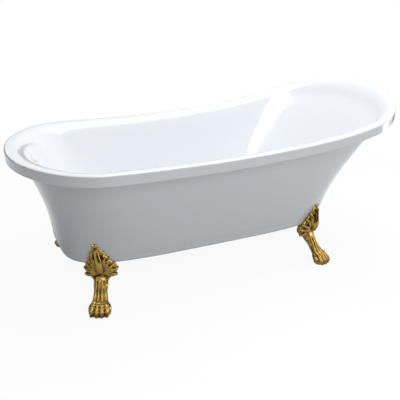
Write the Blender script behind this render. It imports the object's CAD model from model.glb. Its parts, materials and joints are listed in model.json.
import json
import math

import bmesh
import bpy
from mathutils import Matrix, Vector
from mathutils.bvhtree import BVHTree

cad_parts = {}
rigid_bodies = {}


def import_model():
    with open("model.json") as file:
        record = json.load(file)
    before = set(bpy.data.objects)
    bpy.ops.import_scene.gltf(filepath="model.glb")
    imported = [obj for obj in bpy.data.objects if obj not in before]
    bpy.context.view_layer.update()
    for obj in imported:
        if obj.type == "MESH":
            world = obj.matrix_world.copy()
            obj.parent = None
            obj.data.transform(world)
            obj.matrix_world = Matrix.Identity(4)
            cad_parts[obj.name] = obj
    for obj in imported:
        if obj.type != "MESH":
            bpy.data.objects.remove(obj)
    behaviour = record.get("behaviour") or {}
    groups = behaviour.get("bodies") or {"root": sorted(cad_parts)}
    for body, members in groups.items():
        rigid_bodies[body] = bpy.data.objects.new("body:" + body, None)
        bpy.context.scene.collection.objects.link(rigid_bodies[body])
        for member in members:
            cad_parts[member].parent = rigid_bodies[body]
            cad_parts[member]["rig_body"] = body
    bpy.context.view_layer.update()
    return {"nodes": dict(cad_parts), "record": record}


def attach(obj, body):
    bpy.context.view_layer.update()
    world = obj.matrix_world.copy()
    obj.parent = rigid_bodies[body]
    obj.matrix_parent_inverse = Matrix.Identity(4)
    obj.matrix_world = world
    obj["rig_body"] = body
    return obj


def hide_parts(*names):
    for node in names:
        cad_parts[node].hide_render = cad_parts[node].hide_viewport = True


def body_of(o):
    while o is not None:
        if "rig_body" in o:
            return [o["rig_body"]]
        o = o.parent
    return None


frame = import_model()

scene = bpy.context.scene
SLOTS = {part["node"]: part["material_slot"] for part in frame["record"]["subparts"]}

# ---- materials ----------------------------------------------------------------------------

COAT_ROUGHNESS = 0.03


def shader(name, color, roughness, metallic=0.0, coat=0.0, specular=0.5):
    """A plain surface with uniform values on the shader's own sockets."""
    material = bpy.data.materials.new(name)
    material.use_nodes = True
    surface = material.node_tree.nodes["Principled BSDF"]
    surface.inputs["Base Color"].default_value = (*color, 1.0)
    surface.inputs["Roughness"].default_value = roughness
    surface.inputs["Metallic"].default_value = metallic
    surface.inputs["Coat Weight"].default_value = coat
    surface.inputs["Coat Roughness"].default_value = COAT_ROUGHNESS
    surface.inputs["Specular IOR Level"].default_value = specular
    return material


def noise(material, scale, detail=2.0, stretch=(1, 1, 1)):
    """A noise texture over the object's own coordinates."""
    nodes, links = material.node_tree.nodes, material.node_tree.links
    place = nodes.new("ShaderNodeTexCoord")
    fit = nodes.new("ShaderNodeMapping")
    fit.inputs["Scale"].default_value = stretch
    pattern = nodes.new("ShaderNodeTexNoise")
    pattern.inputs["Scale"].default_value = scale
    pattern.inputs["Detail"].default_value = detail
    links.new(place.outputs["Object"], fit.inputs["Vector"])
    links.new(fit.outputs["Vector"], pattern.inputs["Vector"])
    return pattern.outputs["Fac"]


def ramp(material, value, stops):
    """Turns a value into a colour by stops of (place, colour)."""
    nodes, links = material.node_tree.nodes, material.node_tree.links
    band = nodes.new("ShaderNodeValToRGB")
    while len(band.color_ramp.elements) < len(stops):
        band.color_ramp.elements.new(0.5)
    for element, (place, color) in zip(band.color_ramp.elements, stops):
        element.position = place
        element.color = (*color, 1.0)
    links.new(value, band.inputs["Fac"])
    return band.outputs["Color"]


def roughen(material, scale, strength, distance, detail=2.0, stretch=(1, 1, 1)):
    """Adds a fine uneven surface to a material."""
    nodes, links = material.node_tree.nodes, material.node_tree.links
    bump = nodes.new("ShaderNodeBump")
    bump.inputs["Strength"].default_value = strength
    bump.inputs["Distance"].default_value = distance
    links.new(noise(material, scale, detail, stretch), bump.inputs["Height"])
    links.new(bump.outputs["Normal"], nodes["Principled BSDF"].inputs["Normal"])
    return material


WIPE_DETAIL = 3.0           # octaves of noise in a wiped surface


def vary_roughness(material, scale, low, high):
    """Lets a material's roughness wander between two values, as wiped surfaces do."""
    nodes, links = material.node_tree.nodes, material.node_tree.links
    span = nodes.new("ShaderNodeMapRange")
    span.inputs["To Min"].default_value = low
    span.inputs["To Max"].default_value = high
    links.new(noise(material, scale, WIPE_DETAIL), span.inputs["Value"])
    links.new(span.outputs["Result"], nodes["Principled BSDF"].inputs["Roughness"])
    return material


RECESS = "recess"           # an attribute of each point: 0 on open faces, 1 deep in the carving
GOLD_OPEN = (0.38, 0.25, 0.068)
GOLD_STOPS = [(0.0, GOLD_OPEN), (0.25, (0.27, 0.165, 0.04)), (0.55, (0.11, 0.06, 0.014)),
              (1.0, (0.035, 0.018, 0.004))]


def gold_plate():
    """Polished gold plate that has darkened in the hollows of the casting."""
    material = shader("gold_plate", GOLD_OPEN, roughness=0.14, metallic=1.0)
    nodes, links = material.node_tree.nodes, material.node_tree.links
    depth = nodes.new("ShaderNodeAttribute")
    depth.attribute_name = RECESS
    color = ramp(material, depth.outputs["Fac"], GOLD_STOPS)
    links.new(color, nodes["Principled BSDF"].inputs["Base Color"])
    return roughen(material, scale=45, strength=0.05, distance=0.002)


WOOD_STOPS = [(0.30, (0.30, 0.19, 0.10)), (0.52, (0.50, 0.35, 0.20)), (0.72, (0.62, 0.46, 0.28))]
SAW_MARKS = (1, 12, 12)     # how much finer the rough surface is across the grain
GRAIN = (0.6, 9, 9)         # and how much finer the grain's own streaks are


def sawn_wood():
    """Pale softwood with streaks of grain along X and the marks of the saw."""
    material = roughen(shader("sawn_wood", (0.48, 0.33, 0.19), roughness=0.7),
                       scale=40, strength=0.4, distance=0.001, detail=4.0, stretch=SAW_MARKS)
    nodes, links = material.node_tree.nodes, material.node_tree.links
    streaks = noise(material, scale=18, detail=6.0, stretch=GRAIN)
    color = ramp(material, streaks, WOOD_STOPS)
    links.new(color, nodes["Principled BSDF"].inputs["Base Color"])
    return material


ACRYLIC = vary_roughness(shader("white_acrylic", (0.80, 0.82, 0.845), roughness=0.14, coat=0.5),
                         scale=6, low=0.11, high=0.19)
GOLD = gold_plate()
BRASS = vary_roughness(shader("polished_brass", (0.78, 0.56, 0.20), roughness=0.12, metallic=1.0),
                       scale=30, low=0.08, high=0.18)
PLAIN_BRASS = vary_roughness(shader("plain_brass", (0.70, 0.52, 0.22), roughness=0.3, metallic=1.0),
                             scale=60, low=0.24, high=0.42)
STEEL = vary_roughness(shader("zinc_steel", (0.55, 0.56, 0.58), roughness=0.35, metallic=1.0),
                       scale=80, low=0.26, high=0.46)
RUBBER = roughen(shader("black_rubber", (0.03, 0.03, 0.03), roughness=0.6),
                 scale=400, strength=0.2, distance=0.0004)
WOOD = sawn_wood()
PIPE = roughen(shader("pipe_plastic", (0.72, 0.72, 0.70), roughness=0.4),
               scale=300, strength=0.1, distance=0.0003)
HOSE = roughen(shader("hose_plastic", (0.20, 0.21, 0.23), roughness=0.45),
               scale=300, strength=0.1, distance=0.0003)

BY_SLOT = {
    "acrylic": ACRYLIC, "gold_casting": GOLD, "polished_brass": BRASS,
    "plain_brass": PLAIN_BRASS, "zinc_steel": STEEL, "rubber": RUBBER, "wood": WOOD,
    "pipe_plastic": PIPE, "hose_plastic": HOSE,
}
for name, slot in SLOTS.items():
    node = frame["nodes"][name]
    node.data.materials.clear()
    node.data.materials.append(BY_SLOT[slot])

# ---- smooth skins ---------------------------------------------------------------------------

HARD_EDGE = 40              # degrees between faces from which an edge stays sharp


def skin_of(name):
    """A copy of a CAD node's mesh as a piece that stands for the node."""
    node = frame["nodes"][name]
    mesh = node.data.copy()
    mesh.name = name + "_skin"
    piece = bpy.data.objects.new(name + "_skin", mesh)
    scene.collection.objects.link(piece)
    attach(piece, body_of(node)[0])
    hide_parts(name)
    return piece


def apply_modifiers(piece):
    """Turns a piece's modifiers into its mesh."""
    graph = bpy.context.evaluated_depsgraph_get()
    shaped = bpy.data.meshes.new_from_object(piece.evaluated_get(graph))
    old = piece.data
    piece.modifiers.clear()
    piece.data = shaped
    bpy.data.meshes.remove(old)
    shaped.name = piece.name


def smooth(piece):
    """Shades a piece smooth, except across its hard edges."""
    piece.data.shade_smooth()
    piece.data.set_sharp_from_angle(angle=math.radians(HARD_EDGE))


for name in ("basin", "skirt"):
    smooth(skin_of(name))

# ---- cast feet --------------------------------------------------------------------------------

FEET = ("low_front", "low_rear", "high_front", "high_rear")
CAST_VOXEL = 0.0014         # how finely a casting is remodelled, in metres
CAST_SOFTENING = 4          # rounds of smoothing that fill the casting's creases
SOFTENING_SHARE = 0.5       # how far a point goes to the middle of its neighbours each round
HOLLOW_REACH = 0.022        # how far a hollow's far wall may be to darken it
FAR_WALL_LOSS = 0.5         # share of its darkening that a wall at that distance loses
RAY_START = 0.0006          # how far above the surface a ray starts
RAY_RINGS = ((0.35, 5), (0.72, 7))      # height of a ring of rays, and rays in it
SPREAD_ROUNDS = 2           # rounds that soften the depths over neighbours
OWN_WEIGHT = 2              # weight of a point's own depth against each neighbour's
DEPTH_GAIN = 1.6            # brings the deepest hollows near 1


def hollow_depth(tree, spot, normal):
    """Share of the open space over a point that the casting itself fills."""
    side = normal.orthogonal().normalized()
    other = normal.cross(side)
    start = spot + normal * RAY_START
    hits = total = 0.0
    for height, count in RAY_RINGS:
        spread = math.sqrt(1 - height * height)
        for step in range(count):
            angle = 2 * math.pi * step / count
            way = normal * height + (side * math.cos(angle) + other * math.sin(angle)) * spread
            place, _, _, distance = tree.ray_cast(start, way, HOLLOW_REACH)
            total += height
            if place is not None:
                hits += height * (1 - FAR_WALL_LOSS * distance / HOLLOW_REACH)
    return hits / total


def mark_hollows(piece):
    """Stores how deep each point lies in the carving, softened over its neighbours."""
    made = bmesh.new()
    made.from_mesh(piece.data)
    made.normal_update()
    tree = BVHTree.FromBMesh(made)
    depth = [hollow_depth(tree, point.co, point.normal) for point in made.verts]
    for _ in range(SPREAD_ROUNDS):
        depth = [(depth[point.index] * OWN_WEIGHT
                  + sum(depth[edge.other_vert(point).index] for edge in point.link_edges))
                 / (OWN_WEIGHT + len(point.link_edges)) for point in made.verts]
    made.free()
    store = piece.data.attributes.new(RECESS, "FLOAT", "POINT")
    store.data.foreach_set("value", [min(1.0, value * DEPTH_GAIN) for value in depth])


def cast_foot(name):
    """Remodels a foot as one soft-edged casting: its creases filled and its bolt holes kept."""
    piece = skin_of("foot_" + name)
    remodel = piece.modifiers.new("remodel", "REMESH")
    remodel.mode = "VOXEL"
    remodel.voxel_size = CAST_VOXEL
    soften = piece.modifiers.new("soften", "CORRECTIVE_SMOOTH")
    soften.factor = SOFTENING_SHARE
    soften.iterations = CAST_SOFTENING
    soften.smooth_type = "SIMPLE"
    soften.use_only_smooth = True
    apply_modifiers(piece)
    piece.data.shade_smooth()
    mark_hollows(piece)
    piece.data.materials.clear()
    piece.data.materials.append(GOLD)


for name in FEET:
    cast_foot(name)

# ---- stage ----------------------------------------------------------------------------------

FLOOR_SIZE = 40.0
PLAIN_SHARE = 0.93          # how much of the floor is seen as plain white near the bath
MIRRORED_SHARE = 0.10       # and how much of it in a mirror, where its shadow is deeper
CLEAR_RADIUS = 2.6          # beyond this distance the floor is seen as plain white
FADE_RADIUS = 0.91          # and from this distance it starts to change
LIT_FLOOR = 0.95            # brightness of the floor that the camera sees
BOUNCE_FLOOR = 0.42         # brightness of the floor that lights the object from below


def seen(nodes, links):
    """1 for camera, mirror and glass rays, 0 for the rays that light the object."""
    path = nodes.new("ShaderNodeLightPath")
    first = nodes.new("ShaderNodeMath")
    first.operation = "MAXIMUM"
    second = nodes.new("ShaderNodeMath")
    second.operation = "MAXIMUM"
    links.new(path.outputs["Is Camera Ray"], first.inputs[0])
    links.new(path.outputs["Is Glossy Ray"], first.inputs[1])
    links.new(first.outputs[0], second.inputs[0])
    links.new(path.outputs["Is Transmission Ray"], second.inputs[1])
    return second.outputs[0]


def mix(nodes, links, share, first, second):
    """Two shaders in one: the first where the share is 0, the second where it is 1."""
    blend = nodes.new("ShaderNodeMixShader")
    links.new(share, blend.inputs["Fac"])
    links.new(first, blend.inputs[1])
    links.new(second, blend.inputs[2])
    return blend.outputs[0]


def near_share(nodes, links):
    """How plain the floor looks near the bath: less so in the bath's own metal."""
    path = nodes.new("ShaderNodeLightPath")
    share = nodes.new("ShaderNodeMapRange")
    share.inputs["To Min"].default_value = PLAIN_SHARE
    share.inputs["To Max"].default_value = MIRRORED_SHARE
    links.new(path.outputs["Is Glossy Ray"], share.inputs["Value"])
    return share.outputs["Result"]


def floor_paint():
    """A pale floor: white where it is seen, with the object's shadow, and plain where it
    throws light back."""
    material = bpy.data.materials.new("floor_paint")
    material.use_nodes = True
    nodes, links = material.node_tree.nodes, material.node_tree.links
    nodes.remove(nodes["Principled BSDF"])
    shaded = nodes.new("ShaderNodeBsdfDiffuse")
    shaded.inputs["Color"].default_value = (LIT_FLOOR, LIT_FLOOR, LIT_FLOOR, 1)
    bounce = nodes.new("ShaderNodeBsdfDiffuse")
    bounce.inputs["Color"].default_value = (BOUNCE_FLOOR, BOUNCE_FLOOR, BOUNCE_FLOOR, 1)
    glow = nodes.new("ShaderNodeEmission")
    place = nodes.new("ShaderNodeTexCoord")
    away = nodes.new("ShaderNodeVectorMath")
    away.operation = "LENGTH"
    share = nodes.new("ShaderNodeMapRange")
    share.inputs["From Min"].default_value = FADE_RADIUS
    share.inputs["From Max"].default_value = CLEAR_RADIUS
    links.new(near_share(nodes, links), share.inputs["To Min"])
    share.inputs["To Max"].default_value = 1.0
    links.new(place.outputs["Object"], away.inputs[0])
    links.new(away.outputs["Value"], share.inputs["Value"])
    white = mix(nodes, links, share.outputs["Result"], shaded.outputs[0], glow.outputs[0])
    whole = mix(nodes, links, seen(nodes, links), bounce.outputs[0], white)
    links.new(whole, nodes["Material Output"].inputs["Surface"])
    return material


bpy.ops.mesh.primitive_plane_add(size=FLOOR_SIZE, location=(0, 0, 0))
floor = bpy.context.object
floor.name = "floor"
floor.data.materials.append(floor_paint())

WORLD_LIGHT = 0.24
WORLD_COLOR = (0.93, 0.96, 1.0)


def studio_world():
    """Weak even light from all round, seen as white."""
    world = bpy.data.worlds.new("studio")
    scene.world = world
    world.use_nodes = True
    nodes, links = world.node_tree.nodes, world.node_tree.links
    even = nodes["Background"]
    even.inputs["Color"].default_value = (*WORLD_COLOR, 1.0)
    even.inputs["Strength"].default_value = WORLD_LIGHT
    white = nodes.new("ShaderNodeBackground")
    white.inputs["Color"].default_value = (1, 1, 1, 1)
    white.inputs["Strength"].default_value = 1.0
    whole = mix(nodes, links, seen(nodes, links), even.outputs[0], white.outputs[0])
    links.new(whole, nodes["World Output"].inputs["Surface"])


studio_world()

# Dark flags stand in an oval round the bath, as a photographer sets them to give metal
# its dark reflections. Only mirror rays see them.
FLAG_OVAL = (3.5, 3.2)          # the oval's half length and half width
FLAG_LOW, FLAG_HIGH = 0.01, 1.25
FLAGS = ((8, 140), (150, 238), (246, 310))      # each flag's first and last direction, degrees
FLAG_STEP = 6                   # degrees from one upright edge to the next
FLAG_PAINT = shader("flag_cloth", (0.03, 0.022, 0.015), roughness=0.9, specular=0.0)


def flag(name, first, last):
    """One upright cloth along part of the oval."""
    made = bmesh.new()
    columns = []
    steps = round((last - first) / FLAG_STEP)
    for step in range(steps + 1):
        angle = math.radians(first + (last - first) * step / steps)
        x, y = FLAG_OVAL[0] * math.cos(angle), FLAG_OVAL[1] * math.sin(angle)
        columns.append([made.verts.new((x, y, height)) for height in (FLAG_LOW, FLAG_HIGH)])
    for one, two in zip(columns, columns[1:]):
        made.faces.new((one[0], two[0], two[1], one[1]))
    mesh = bpy.data.meshes.new(name)
    made.to_mesh(mesh)
    made.free()
    piece = bpy.data.objects.new(name, mesh)
    scene.collection.objects.link(piece)
    mesh.materials.append(FLAG_PAINT)
    piece.visible_camera = False
    piece.visible_diffuse = False
    piece.visible_transmission = False
    piece.visible_shadow = False


for index, (first, last) in enumerate(FLAGS):
    flag("flag_%d" % index, first, last)


WHITE, COOL_WHITE = (1, 1, 1), (0.975, 0.985, 1.0)
BATH_MIDDLE, BATH_FOOT = (0.0, 0.0, 0.4), (0.0, 0.0, 0.3)


def softbox(name, spot, aim, width, height, watts, color):
    """A rectangular lamp that looks at a point."""
    data = bpy.data.lights.new(name, "AREA")
    data.shape = "RECTANGLE"
    data.size, data.size_y = width, height
    data.energy = watts
    data.color = color
    lamp = bpy.data.objects.new(name, data)
    scene.collection.objects.link(lamp)
    lamp.location = spot
    lamp.rotation_euler = (Vector(aim) - Vector(spot)).to_track_quat("-Z", "Y").to_euler()


softbox("top_light", (0.5, -0.1, 3.2), BATH_MIDDLE,
        width=3.0, height=2.2, watts=90, color=COOL_WHITE)
softbox("front_light", (0.6, -3.4, 0.65), BATH_MIDDLE,
        width=2.6, height=0.9, watts=12, color=COOL_WHITE)
softbox("camera_light", (-0.6, -2.7, 2.3), BATH_MIDDLE,
        width=2.2, height=0.9, watts=12, color=COOL_WHITE)
softbox("right_light", (2.6, -0.9, 0.62), BATH_FOOT,
        width=0.9, height=1.1, watts=11, color=WHITE)

# ---- camera ---------------------------------------------------------------------------------

PHOTO_SIDE = 400            # the photograph's width and height in pixels
FOCAL_PIXELS = 499.0        # the lens's focal length, in the photograph's pixels
OPTICAL_CENTRE = (178.0, 188.0)         # the photograph's pixel straight ahead of the lens
SENSOR = 36.0               # width of the film, in millimetres
CAMERA_SPOT = (-1.0099, -1.8762, 1.1410)
CAMERA_RIGHT = Vector((0.90946, -0.41540, 0.01794))
CAMERA_UP = Vector((0.13522, 0.33628, 0.93200))

camera_data = bpy.data.cameras.new("camera")
camera_data.sensor_width = SENSOR
camera_data.lens = FOCAL_PIXELS / PHOTO_SIDE * SENSOR
camera_data.shift_x = (PHOTO_SIDE / 2 - OPTICAL_CENTRE[0]) / PHOTO_SIDE
camera_data.shift_y = (OPTICAL_CENTRE[1] - PHOTO_SIDE / 2) / PHOTO_SIDE
camera = bpy.data.objects.new("camera", camera_data)
scene.collection.objects.link(camera)
right = CAMERA_RIGHT.normalized()
up = (CAMERA_UP - right * CAMERA_UP.dot(right)).normalized()
back = right.cross(up)
turn = Matrix((right, up, back)).transposed().to_4x4()
camera.matrix_world = Matrix.Translation(CAMERA_SPOT) @ turn
scene.camera = camera
scene.view_settings.view_transform = "Standard"

bpy.context.view_layer.update()
